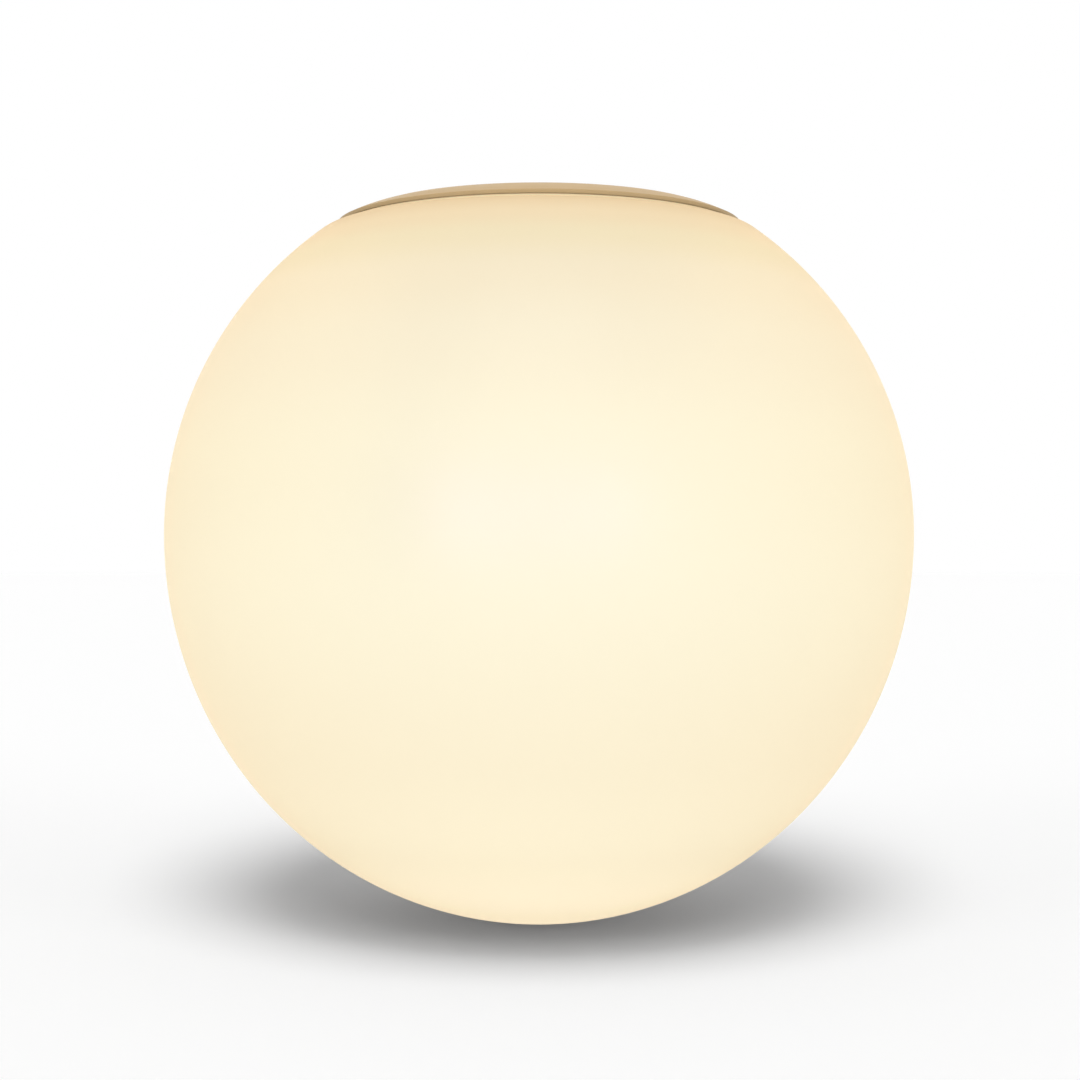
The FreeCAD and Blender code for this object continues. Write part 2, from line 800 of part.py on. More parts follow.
def lead_ferrules():
    ferrules = []
    face_y = block_width / 2
    for x in pole_places():
        barrel = cylinder_y(ferrule_radius, face_y - ferrule_length, face_y, x, pole_level)
        collar = cylinder_y(ferrule_collar_radius, face_y, ferrule_start_y(), x, pole_level)
        ferrules.append(joined([barrel, collar]))
    return Part.makeCompound(ferrules)


def lead_ends(side):
    """Fixed ends of a lead: the port and the floor hole first, the terminal last."""
    port_low = point(lead_port_x, side * contact_y, lamp_level + contact_height / 2)
    port_high = point(lead_port_x, side * contact_y, lamp_level + holder_height)
    pole = point(-side * pole_spacing / 2, ferrule_start_y(), pole_level)
    hole_x = lead_hole_x + side * lead_spacing / 2
    return port_low, port_high, hole_x, pole


def live_lead():
    port_low, port_high, hole_x, pole = lead_ends(1)
    corners = [port_low, port_high, point(-25.0, 3.2, -38.0), point(hole_x, 0, -27.0), point(hole_x, 0, -12.6),
               point(-21.0, 9.8, -10.8), point(-15.2, 17.6, -10.2), point(-9.2, 19.8, -10.2),
               point(-5.4, 17.6, -11.6), point(-5.0, 13.6, -13.0), pole]
    return tube("live_lead", corners, lead_radius, run_radii(corners))


def neutral_lead():
    port_low, port_high, hole_x, pole = lead_ends(-1)
    corners = [port_low, port_high, point(-26.0, -3.0, -38.0), point(hole_x, 0, -27.0), point(hole_x, 0, -9.6),
               point(-25.2, 10.0, -7.6), point(-17.5, 20.0, -7.2), point(-5.5, 23.5, -7.4),
               point(3.6, 20.6, -9.6), point(5.0, 14.8, -13.0), pole]
    return tube("neutral_lead", corners, lead_radius, run_radii(corners))


def lamp_pins():
    pins = []
    half_loop = pin_loop_width / 2
    inside_x = lamp_back_x + pin_embed
    tip_x = lamp_back_x - pin_length + pin_wire_radius
    for side in (-1, 1):
        y = side * pin_spacing / 2
        corners = [point(inside_x, y, lamp_level + half_loop), point(tip_x, y, lamp_level + half_loop),
                   point(tip_x, y, lamp_level - half_loop), point(inside_x, y, lamp_level - half_loop)]
        pins.append(tube("lamp_pin", corners, pin_wire_radius, [half_loop, half_loop]))
    return Part.makeCompound(pins)


def lamp_board():
    start = lamp_shoulder_x + lamp_base_spigot - board_embed
    return block(start, start + board_length, -board_width / 2, board_width / 2,
                 lamp_level - board_thickness / 2, lamp_level + board_thickness / 2)


def lamp_base(pins, board):
    body = cylinder_x(lamp_radius, lamp_back_x, lamp_shoulder_x, 0, lamp_level)
    back_edges = [edge for edge in body.Edges if abs(edge.CenterOfMass.x - lamp_back_x) < lamp_cover_fit]
    body = body.makeFillet(lamp_base_round, back_edges)
    collar = cylinder_x(lamp_radius - lamp_cover_wall - lamp_cover_fit, lamp_shoulder_x,
                        lamp_shoulder_x + lamp_base_spigot, 0, lamp_level)
    return joined([body, collar]).cut(pins).cut(board)


def capsule(radius, start, tip):
    """Rod along X with a round nose."""
    rod = cylinder_x(radius, start, tip - radius, 0, lamp_level)
    nose = Part.makeSphere(radius, point(tip - radius, 0, lamp_level))
    return joined([rod, nose.cut(block(start, tip - radius, -radius, radius, lamp_level - radius,
                                       lamp_level + radius))])


def lamp_cover():
    outer = capsule(lamp_radius, lamp_shoulder_x, lamp_tip_x)
    inner = capsule(lamp_radius - lamp_cover_wall, lamp_shoulder_x - overrun, lamp_tip_x - lamp_cover_wall)
    return outer.cut(inner)


def led_chips():
    start = lamp_shoulder_x + lamp_base_spigot + chip_end_margin
    end = lamp_shoulder_x + lamp_base_spigot - board_embed + board_length - chip_end_margin
    pitch = (end - start - chip_length) / (chips_per_row - 1)
    chips = []
    for row in range(chip_rows):
        y = (row - (chip_rows - 1) / 2) * chip_row_spacing
        for index in range(chips_per_row):
            x = start + pitch * index
            for side in (-1, 1):
                face = lamp_level + side * board_thickness / 2
                low, high = sorted((face, face + side * chip_thickness))
                chips.append(block(x, x + chip_length, y - chip_width / 2, y + chip_width / 2, low, high))
    return Part.makeCompound(chips)


os.makedirs("parts", exist_ok=True)

write("wall_bracket", wall_bracket())
write("clinch_nuts", clinch_nuts())
write("cable_bushing", cable_bushing())
write("base_housing", base_housing())
write("housing_screws", housing_screws())
write("globe_gasket", globe_gasket())
for number, clip_angle in enumerate(clip_angles(), 1):
    write("spring_clip_" + str(number), spring_clip(clip_angle))
write("clip_rivets", clip_rivets())
write("lamp_bracket", lamp_bracket())
write("lamp_bracket_screws", lamp_bracket_screws())
write("lead_grommet", lead_grommet())
write("lampholder_insulator", lampholder_insulator())
write("lampholder_body", lampholder_body())
write("lampholder_contacts", lampholder_contacts())
write("lampholder_screws", lampholder_screws())
write("lampholder_nuts", lampholder_nuts())
write("terminal_body", terminal_body())
write("terminal_clamps", terminal_clamps())
write("terminal_screws", terminal_screws())
write("terminal_fixing_screw", terminal_fixing_screw())
write("earth_lock_washer", earth_lock_washer())
write("earth_saddle", earth_saddle())
write("earth_screw", earth_screw())
write("lead_ferrules", lead_ferrules())
write("live_lead", live_lead())
write("neutral_lead", neutral_lead())
write("glass_globe", glass_globe())
lamp_pin_pair = lamp_pins()
board = lamp_board()
write("lamp_pins", lamp_pin_pair)
write("lamp_board", board)
write("lamp_base", lamp_base(lamp_pin_pair, board))
write("lamp_cover", lamp_cover())
write("led_chips", led_chips())
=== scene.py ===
import bmesh
import bpy
import math
from mathutils import Matrix, Vector


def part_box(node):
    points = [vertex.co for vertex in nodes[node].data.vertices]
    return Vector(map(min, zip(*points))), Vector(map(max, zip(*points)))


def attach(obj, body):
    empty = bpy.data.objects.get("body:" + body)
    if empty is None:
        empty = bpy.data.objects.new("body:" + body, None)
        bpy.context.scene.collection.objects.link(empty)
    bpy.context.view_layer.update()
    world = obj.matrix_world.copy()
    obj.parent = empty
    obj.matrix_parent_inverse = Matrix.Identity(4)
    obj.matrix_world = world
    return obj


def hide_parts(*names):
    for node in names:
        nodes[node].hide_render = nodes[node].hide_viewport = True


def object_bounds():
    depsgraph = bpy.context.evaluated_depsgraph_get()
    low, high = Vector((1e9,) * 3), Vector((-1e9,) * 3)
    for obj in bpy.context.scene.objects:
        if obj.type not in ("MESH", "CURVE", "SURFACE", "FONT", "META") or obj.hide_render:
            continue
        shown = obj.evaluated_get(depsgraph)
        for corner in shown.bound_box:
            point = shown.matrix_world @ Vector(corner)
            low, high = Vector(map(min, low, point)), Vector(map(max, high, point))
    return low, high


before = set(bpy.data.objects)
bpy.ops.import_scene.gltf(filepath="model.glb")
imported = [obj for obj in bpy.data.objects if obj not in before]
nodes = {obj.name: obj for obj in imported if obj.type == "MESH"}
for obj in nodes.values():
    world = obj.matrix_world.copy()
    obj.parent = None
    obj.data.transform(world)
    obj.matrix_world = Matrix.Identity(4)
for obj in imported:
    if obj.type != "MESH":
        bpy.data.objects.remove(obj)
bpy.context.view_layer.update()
print("frame loaded,", len(nodes), "nodes")


# Short ways to write node trees

def newMaterial(name):
    material = bpy.data.materials.new(name)
    material.use_nodes = True
    return material, material.node_tree, material.node_tree.nodes["Principled BSDF"]


def newGroup(name, inputs, outputs):
    group = bpy.data.node_groups.new(name, "ShaderNodeTree")
    for label, kind, value in inputs:
        socket = group.interface.new_socket(label, in_out="INPUT", socket_type="NodeSocket" + kind)
        if value is not None:
            socket.default_value = value
    for label, kind in outputs:
        group.interface.new_socket(label, in_out="OUTPUT", socket_type="NodeSocket" + kind)
    return group, group.nodes.new("NodeGroupInput").outputs, group.nodes.new("NodeGroupOutput").inputs


def addNode(tree, kind, inputs=None, **settings):
    node = tree.nodes.new("ShaderNode" + kind)
    for name, value in settings.items():
        setattr(node, name, value)
    for key, value in (inputs or {}).items():
        setSocket(tree, node.inputs[key], value)
    return node


def setSocket(tree, socket, value):
    if isinstance(value, bpy.types.NodeSocket):
        tree.links.new(value, socket)
    else:
        socket.default_value = value


def addMath(tree, operation, first, second=0.0, clamp=False):
    node = addNode(tree, "Math", {0: first, 1: second}, operation=operation, use_clamp=clamp)
    return node.outputs[0]


def addNoise(tree, vector, scale, detail=2.0, rough=0.5):
    node = addNode(tree, "TexNoise", {"Vector": vector, "Scale": scale, "Detail": detail, "Roughness": rough})
    return node.outputs["Fac"]


def addMix(tree, factor, first, second, blend="MIX"):
    node = addNode(tree, "Mix", data_type="RGBA", blend_type=blend)
    setSocket(tree, node.inputs[0], factor)
    setSocket(tree, node.inputs[6], first)
    setSocket(tree, node.inputs[7], second)
    return node.outputs[2]


def around(tree, value, centre, spread):
    # a 0 to 1 value turned into one that swings about centre
    offset = addMath(tree, "SUBTRACT", value, 0.5)
    return addMath(tree, "ADD", addMath(tree, "MULTIPLY", offset, spread), centre)


def rgba(colour):
    return (*colour, 1.0)


# Effects that several finishes share

mouldedTexture = {
    "patchDetail": 4.0,
    "grainDetail": 3.0,
    "grainRough": 0.6,
    "smudgeToPatch": 2.7,       # smudges are finer than the patches of colour
    "smudgeDetail": 3.0,
}
rolledTexture = {
    "streakDetail": 4.0,
    "streakRough": 0.65,
    "streakShade": 0.22,
    "cloudScale": 110.0,
    "cloudDetail": 3.0,
    "cloudRough": 0.55,
    "cloudReach": 1.6,
    "speckScale": 900.0,
    "speckShare": 0.3,
}
edgeTexture = {
    "samples": 4,
    "contrast": 6.0,
}
threadDepthShare = 0.4          # of the pitch


def buildMouldedSkin():
    group, given, result = newGroup("mouldedSkin", [
        ("Vector", "Vector", None), ("Colour", "Color", None), ("Colour Spread", "Float", 0.08),
        ("Patch Scale", "Float", 90.0), ("Roughness", "Float", 0.5), ("Roughness Spread", "Float", 0.12),
        ("Grain Scale", "Float", 2600.0)],
        [("Colour", "Color"), ("Roughness", "Float"), ("Height", "Float")])
    look = mouldedTexture
    patches = addNoise(group, given["Vector"], given["Patch Scale"], look["patchDetail"])
    fine = addNoise(group, given["Vector"], given["Grain Scale"], look["grainDetail"], look["grainRough"])
    shade = around(group, patches, 1.0, given["Colour Spread"])
    tinted = addNode(group, "VectorMath", {0: given["Colour"], "Scale": shade}, operation="SCALE")
    smudgeScale = addMath(group, "MULTIPLY", given["Patch Scale"], look["smudgeToPatch"])
    smudges = addNoise(group, given["Vector"], smudgeScale, look["smudgeDetail"])
    gloss = around(group, smudges, given["Roughness"], given["Roughness Spread"])
    setSocket(group, result["Colour"], tinted.outputs[0])
    setSocket(group, result["Roughness"], gloss)
    setSocket(group, result["Height"], fine)
    return group


def buildRolledMetal():
    group, given, result = newGroup("rolledMetal", [
        ("Vector", "Vector", None), ("Stretch", "Vector", None), ("Colour", "Color", None),
        ("Stain", "Color", None), ("Stain Amount", "Float", 0.3), ("Roughness", "Float", 0.32),
        ("Roughness Spread", "Float", 0.16)],
        [("Colour", "Color"), ("Roughness", "Float"), ("Height", "Float")])
    look = rolledTexture
    stretched = addNode(group, "VectorMath", {0: given["Vector"], 1: given["Stretch"]}, operation="MULTIPLY")
    streaks = addNoise(group, stretched.outputs[0], 1.0, look["streakDetail"], look["streakRough"])
    cloud = addNoise(group, given["Vector"], look["cloudScale"], look["cloudDetail"], look["cloudRough"])
    speck = addNoise(group, given["Vector"], look["speckScale"])
    clouded = addMath(group, "MULTIPLY", cloud, given["Stain Amount"])
    mask = addMath(group, "MULTIPLY", clouded, look["cloudReach"], clamp=True)
    stained = addMix(group, mask, given["Colour"], given["Stain"])
    shade = around(group, streaks, 1.0, look["streakShade"])
    tinted = addNode(group, "VectorMath", {0: stained, "Scale": shade}, operation="SCALE")
    streakPart = addMath(group, "MULTIPLY", streaks, 1.0 - look["speckShare"])
    mixed = addMath(group, "ADD", streakPart, addMath(group, "MULTIPLY", speck, look["speckShare"]))
    setSocket(group, result["Colour"], tinted.outputs[0])
    setSocket(group, result["Roughness"], around(group, mixed, given["Roughness"], given["Roughness Spread"]))
    setSocket(group, result["Height"], mixed)
    return group


def buildRoundedEdges():
    # softens the sharp edges of pressed and moulded pieces, and says where they are
    group, given, result = newGroup("roundedEdges", [("Radius", "Float", 0.0002)],
                                    [("Normal", "Vector"), ("Edge", "Float")])
    bevel = addNode(group, "Bevel", {"Radius": given["Radius"]}, samples=edgeTexture["samples"])
    facing = addNode(group, "NewGeometry").outputs["Normal"]
    same = addNode(group, "VectorMath", {0: bevel.outputs[0], 1: facing}, operation="DOT_PRODUCT")
    turned = addMath(group, "SUBTRACT", 1.0, same.outputs["Value"])
    edge = addMath(group, "MULTIPLY", turned, edgeTexture["contrast"], clamp=True)
    setSocket(group, result["Normal"], bevel.outputs[0])
    setSocket(group, result["Edge"], edge)
    return group


def buildScrewThread():
    # rings around a screw's shank, from one place along its axis to another
    group, given, result = newGroup("screwThread", [
        ("Along", "Float", 0.0), ("Pitch", "Float", 0.0005), ("From", "Float", 0.0), ("To", "Float", 0.0)],
        [("Height", "Float")])
    turns = addMath(group, "DIVIDE", given["Along"], given["Pitch"])
    ridge = addMath(group, "MULTIPLY", addMath(group, "PINGPONG", turns, 0.5), 2.0)
    begun = addMath(group, "GREATER_THAN", given["Along"], given["From"])
    within = addMath(group, "MULTIPLY", begun, addMath(group, "LESS_THAN", given["Along"], given["To"]))
    setSocket(group, result["Height"], addMath(group, "MULTIPLY", ridge, within))
    return group


mouldedSkin = buildMouldedSkin()
rolledMetal = buildRolledMetal()
roundedEdges = buildRoundedEdges()
screwThread = buildScrewThread()


def placeGroup(tree, group, inputs):
    node = tree.nodes.new("ShaderNodeGroup")
    node.node_tree = group
    for key, value in inputs.items():
        setSocket(tree, node.inputs[key], value)
    return node.outputs


def finishSurface(tree, shader, skin, normal, bumpDistance):
    bump = addNode(tree, "Bump", {"Strength": 1.0, "Distance": bumpDistance, "Height": skin["Height"]})
    if normal:
        setSocket(tree, bump.inputs["Normal"], normal)
    setSocket(tree, shader.inputs["Roughness"], skin["Roughness"])
    setSocket(tree, shader.inputs["Normal"], bump.outputs["Normal"])


def glowForSight(material, bare, behindGlass=None):
    # what glows is seen, brighter behind the opal glass, but only the studio's own lamps light the scene
    tree = material.node_tree
    path = addNode(tree, "LightPath").outputs
    level = bare
    if behindGlass is not None:
        through = path["Is Transmission Ray"]
        level = addNode(tree, "MapRange", {"Value": through, "To Min": bare, "To Max": behindGlass})
        level = level.outputs[0]
    level = addMath(tree, "MULTIPLY", addMath(tree, "LESS_THAN", path["Diffuse Depth"], 0.5), level)
    setSocket(tree, tree.nodes["Principled BSDF"].inputs["Emission Strength"], level)
    material.cycles.emission_sampling = "NONE"


mouldedUsual = {
    "colourSpread": 0.08,
    "patchScale": 90.0,
    "roughnessSpread": 0.14,
    "grainScale": 2600.0,
    "grainHeight": 0.00001,
    "edgeRadius": 0.0002,
    "edgePaler": 1.25,
    "wear": 0.25,
    "specular": 0.4,
    "subsurface": 0.0,
    "subsurfaceScale": 0.001,
    "coat": 0.0,
    "coatRoughness": 0.2,
}
metalUsual = {
    "stretch": (300.0, 2400.0, 2400.0),
    "stainAmount": 0.3,
    "roughnessSpread": 0.16,
    "grainHeight": 0.000006,
    "edgeRadius": 0.00015,
    "edgePaler": 1.2,
    "wear": 0.4,
}


def wornColour(tree, skin, edges, look):
    # the paler colour of rubbed edges over the skin's own
    paler = look.get("edgeColour", [min(1.0, part * look["edgePaler"]) for part in look["colour"]])
    return addMix(tree, addMath(tree, "MULTIPLY", edges["Edge"], look["wear"]), skin["Colour"], rgba(paler))


def mouldedFinish(name, spec):
    look = {**mouldedUsual, **spec}
    material, tree, shader = newMaterial(name)
    place = addNode(tree, "TexCoord").outputs["Object"]
    skin = placeGroup(tree, mouldedSkin, {
        "Vector": place, "Colour": rgba(look["colour"]), "Colour Spread": look["colourSpread"],
        "Patch Scale": look["patchScale"], "Grain Scale": look["grainScale"],
        "Roughness": look["roughness"], "Roughness Spread": look["roughnessSpread"]})
    edges = placeGroup(tree, roundedEdges, {"Radius": look["edgeRadius"]})
    setSocket(tree, shader.inputs["Base Color"], wornColour(tree, skin, edges, look))
    shader.inputs["Specular IOR Level"].default_value = look["specular"]
    shader.inputs["Subsurface Weight"].default_value = look["subsurface"]
    shader.inputs["Subsurface Scale"].default_value = look["subsurfaceScale"]
    shader.inputs["Coat Weight"].default_value = look["coat"]
    shader.inputs["Coat Roughness"].default_value = look["coatRoughness"]
    finishSurface(tree, shader, skin, edges["Normal"], look["grainHeight"])
    # a glowing part: the LED chips' own light, or a painted glow on the silicone parts
    if "glow" in look:
        setSocket(tree, shader.inputs["Emission Color"], skin["Colour"])
        glowForSight(material, look["glow"])
    return material


def metalFinish(name, spec):
    look = {**metalUsual, **spec}
    material, tree, shader = newMaterial(name)
    place = addNode(tree, "TexCoord").outputs["Object"]
    skin = placeGroup(tree, rolledMetal, {
        "Vector": place, "Stretch": look["stretch"], "Colour": rgba(look["colour"]),
        "Stain": rgba(look["stain"]), "Stain Amount": look["stainAmount"],
        "Roughness": look["roughness"], "Roughness Spread": look["roughnessSpread"]})
    edges = placeGroup(tree, roundedEdges, {"Radius": look["edgeRadius"]})
    setSocket(tree, shader.inputs["Base Color"], wornColour(tree, skin, edges, look))
    shader.inputs["Metallic"].default_value = 1.0
    normal = edges["Normal"]
    if "thread" in look:
        normal = threadNormal(tree, place, normal, look["thread"])
    finishSurface(tree, shader, skin, normal, look["grainHeight"])
    return material


def threadNormal(tree, place, normal, thread):
    along = addNode(tree, "SeparateXYZ", {0: place}).outputs[thread["axis"]]
    rings = placeGroup(tree, screwThread, {
        "Along": along, "Pitch": thread["pitch"], "From": thread["from"], "To": thread["to"]})
    bump = addNode(tree, "Bump", {
        "Distance": thread["pitch"] * threadDepthShare, "Height": rings["Height"], "Normal": normal})
    return bump.outputs["Normal"]


# Finishes of the pieces behind the glass and in the base
zincLook = {"colour": (0.60, 0.60, 0.58), "stain": (0.52, 0.54, 0.60), "stainAmount": 0.45, "roughness": 0.34}
threadPlaces = {
    "holderScrewZinc": {"axis": "X", "pitch": 0.0005, "from": -0.0400, "to": -0.0286},
    "bracketScrewZinc": {"axis": "Z", "pitch": 0.0005, "from": -0.0214, "to": -0.0100},
    "housingScrewZinc": {"axis": "Z", "pitch": 0.0007, "from": -0.0199, "to": -0.0100},
}
zincSteel = metalFinish("zincSteel", zincLook)
threadedZinc = {}
for name, thread in threadPlaces.items():
    threadedZinc[name] = metalFinish(name, {**zincLook, "thread": thread})
springSteel = metalFinish("springSteel", {
    "colour": (0.55, 0.55, 0.54), "stain": (0.42, 0.40, 0.37), "roughness": 0.24,
    "stretch": (2400.0, 2400.0, 240.0)})
rivetAluminium = metalFinish("rivetAluminium", {
    "colour": (0.72, 0.72, 0.71), "stain": (0.60, 0.60, 0.60), "roughness": 0.38,
    "stretch": (1400.0, 1400.0, 1400.0)})
terminalBrass = metalFinish("terminalBrass", {
    "colour": (0.72, 0.50, 0.20), "stain": (0.45, 0.28, 0.10), "stainAmount": 0.35, "roughness": 0.28,
    "stretch": (900.0, 900.0, 2600.0)})
tinnedCopper = metalFinish("tinnedCopper", {
    "colour": (0.64, 0.63, 0.60), "stain": (0.50, 0.47, 0.42), "roughness": 0.36,
    "stretch": (400.0, 2600.0, 2600.0)})
blackNylon = mouldedFinish("blackNylon", {
    "colour": (0.022, 0.022, 0.024), "roughness": 0.46, "colourSpread": 0.3,
    "edgeColour": (0.07, 0.07, 0.075)})
# painted glow: the gasket and the cable grommet glow warm, standing in for the glass's light falling on them
siliconePaintedGlow = mouldedFinish("siliconePaintedGlow", {
    "colour": (0.66, 0.52, 0.32), "roughness": 0.68, "subsurface": 0.2, "specular": 0.25, "glow": 0.75})
micaSheet = mouldedFinish("micaSheet", {
    "colour": (0.36, 0.28, 0.17), "roughness": 0.3, "colourSpread": 0.6, "patchScale": 420.0, "coat": 0.4})
steatite = mouldedFinish("steatite", {
    "colour": (0.74, 0.71, 0.62), "roughness": 0.55, "grainHeight": 0.00003, "grainScale": 1800.0,
    "edgeRadius": 0.0003})
whitePolyamide = mouldedFinish("whitePolyamide", {
    "colour": (0.72, 0.72, 0.68), "roughness": 0.42, "subsurface": 0.15})
brownSilicone = mouldedFinish("brownSilicone", {
    "colour": (0.085, 0.028, 0.010), "roughness": 0.5, "colourSpread": 0.3, "grainScale": 1500.0})
blueSilicone = mouldedFinish("blueSilicone", {
    "colour": (0.010, 0.060, 0.26), "roughness": 0.5, "colourSpread": 0.3, "grainScale": 1500.0})
boardCeramic = mouldedFinish("boardCeramic", {"colour": (0.84, 0.84, 0.80), "roughness": 0.32})
sandLacquer = mouldedFinish("sandLacquer", {
    "colour": (0.510, 0.355, 0.178), "roughness": 0.44, "colourSpread": 0.05, "patchScale": 45.0,
    "grainScale": 3200.0, "grainHeight": 0.000008, "wear": 0.0, "specular": 0.15, "edgeRadius": 0.0004})
print("finishes ready")


# Lamp: the board's chips show through the milky cover as soft bright spots
lampGlow = {
    "bareColour": (0.96, 0.90, 0.86),
    "colourBehindGlass": (0.50, 0.43, 0.75),    # adds to the warm glow of the glass, nearly white with it
    "coverBare": 0.16,
    "behindGlass": 2.05,
    "chipPitch": 0.0040,
    "spotContrast": 0.16,
    "endBoost": 0.9,
}


def lampLight(tree):
    behind = addNode(tree, "LightPath").outputs["Is Transmission Ray"]
    return addMix(tree, behind, rgba(lampGlow["bareColour"]), rgba(lampGlow["colourBehindGlass"]))


def endLight(tree, along):
    # the lamp shines more towards both ends, with a mean of 1
    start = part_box("lamp_base")[0].x
    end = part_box("lamp_cover")[1].x
    fromMiddle = addMath(tree, "SUBTRACT", along, (start + end) / 2)
    share = addMath(tree, "DIVIDE", fromMiddle, (end - start) / 2)
    more = addMath(tree, "MULTIPLY", addMath(tree, "MULTIPLY", share, share), lampGlow["endBoost"])
    return addMath(tree, "ADD", more, 1.0 - lampGlow["endBoost"] / 3)


def shineThroughGlass(material, level, bare):
    tree = material.node_tree
    glow = addNode(tree, "VectorMath", {0: lampLight(tree), "Scale": level}, operation="SCALE")
    setSocket(tree, tree.nodes["Principled BSDF"].inputs["Emission Color"], glow.outputs[0])
    glowForSight(material, bare, lampGlow["behindGlass"])


def alongLamp(tree):
    return addNode(tree, "SeparateXYZ", {0: addNode(tree, "TexCoord").outputs["Object"]}).outputs[0]


def lampCoverFinish():
    material = mouldedFinish("frostedCover", {
        "colour": (0.64, 0.61, 0.54), "roughness": 0.42, "roughnessSpread": 0.12, "grainScale": 3000.0,
        "grainHeight": 0.000008, "specular": 0.5, "wear": 0.0})
    tree = material.node_tree
    along = alongLamp(tree)
    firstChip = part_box("led_chips")[0].x + lampGlow["chipPitch"] / 2
    phase = addMath(tree, "SUBTRACT", along, firstChip)
    phase = addMath(tree, "MULTIPLY", phase, 2 * math.pi / lampGlow["chipPitch"])
    spots = addMath(tree, "ADD", addMath(tree, "MULTIPLY", addMath(tree, "COSINE", phase), 0.5), 0.5)
    level = around(tree, spots, 1.0, lampGlow["spotContrast"])
    level = addMath(tree, "MULTIPLY", level, endLight(tree, along))
    shineThroughGlass(material, level, lampGlow["coverBare"])
    return material


def lampBaseFinish():
    # painted glow: the white base glows as if lit from the cover too, which shows only through the glass
    material = mouldedFinish("lampBasePaintedGlow", {
        "colour": (0.80, 0.78, 0.72), "roughness": 0.24, "subsurface": 0.1, "coat": 0.3,
        "edgeRadius": 0.0003})
    tree = material.node_tree
    shineThroughGlass(material, endLight(tree, alongLamp(tree)), 0.0)
    return material


frostedCover = lampCoverFinish()
lampBasePaintedGlow = lampBaseFinish()
ledPhosphor = mouldedFinish("ledPhosphor", {
    "colour": (0.85, 0.60, 0.12), "roughness": 0.4, "roughnessSpread": 0.12, "patchScale": 700.0,
    "grainHeight": 0.000006, "edgeRadius": 0.0001, "specular": 0.5, "wear": 0.0, "glow": 1.2})

finishOfNode = {
    "base_housing": sandLacquer,
    "wall_bracket": zincSteel,
    "clinch_nuts": zincSteel,
    "housing_screws": threadedZinc["housingScrewZinc"],
    "cable_bushing": blackNylon,
    "globe_gasket": siliconePaintedGlow,
    "spring_clip_1": springSteel,
    "spring_clip_2": springSteel,
    "spring_clip_3": springSteel,
    "clip_rivets": rivetAluminium,
    "lamp_bracket": zincSteel,
    "lamp_bracket_screws": threadedZinc["bracketScrewZinc"],
    "lampholder_body": steatite,
    "lampholder_insulator": micaSheet,
    "lampholder_contacts": springSteel,
    "lampholder_screws": threadedZinc["holderScrewZinc"],
    "lampholder_nuts": zincSteel,
    "terminal_body": whitePolyamide,
    "terminal_clamps": terminalBrass,
    "terminal_screws": zincSteel,
    "terminal_fixing_screw": zincSteel,
    "live_lead": brownSilicone,
    "neutral_lead": blueSilicone,
    "lead_ferrules": tinnedCopper,
    "lead_grommet": siliconePaintedGlow,
    "earth_screw": terminalBrass,
    "earth_saddle": terminalBrass,
    "earth_lock_washer": zincSteel,
    "lamp_base": lampBasePaintedGlow,
    "lamp_pins": tinnedCopper,
    "lamp_cover": frostedCover,
    "lamp_board": boardCeramic,
    "led_chips": ledPhosphor,
}
for name, finish in finishOfNode.items():
    for materialSlot in nodes[name].material_slots:
        materialSlot.material = finish


# Glass globe
globeSizes = {
    "lowerHeight": 0.078,       # from the widest circle down to the lowest point
    "wall": 0.0025,
    "shoulderRound": 0.006,
    "rimCover": 0.0027,         # how far the base's rim laps over the glass
    "landWidth": 0.0018,
    "aroundSteps": 192,
    "upperSteps": 44,
    "lowerSteps": 60,
    "shoulderSteps": 10,
    "mergeDistance": 0.000001,
    "lipRoundShare": 0.48,      # of the wall
    "lipSegments": 6,
    "lipAngle": 40.0,           # edges sharper than this are rounded
}


def turnPoint(bm, start, centre, angle, steps):
    # the edges that a point draws as it turns about a line along Y
    turned = bmesh.ops.spin(bm, geom=[start], cent=centre, axis=(0, 1, 0), angle=angle, steps=steps)
    return [part for part in turned["geom_last"] if isinstance(part, bmesh.types.BMVert)][0]


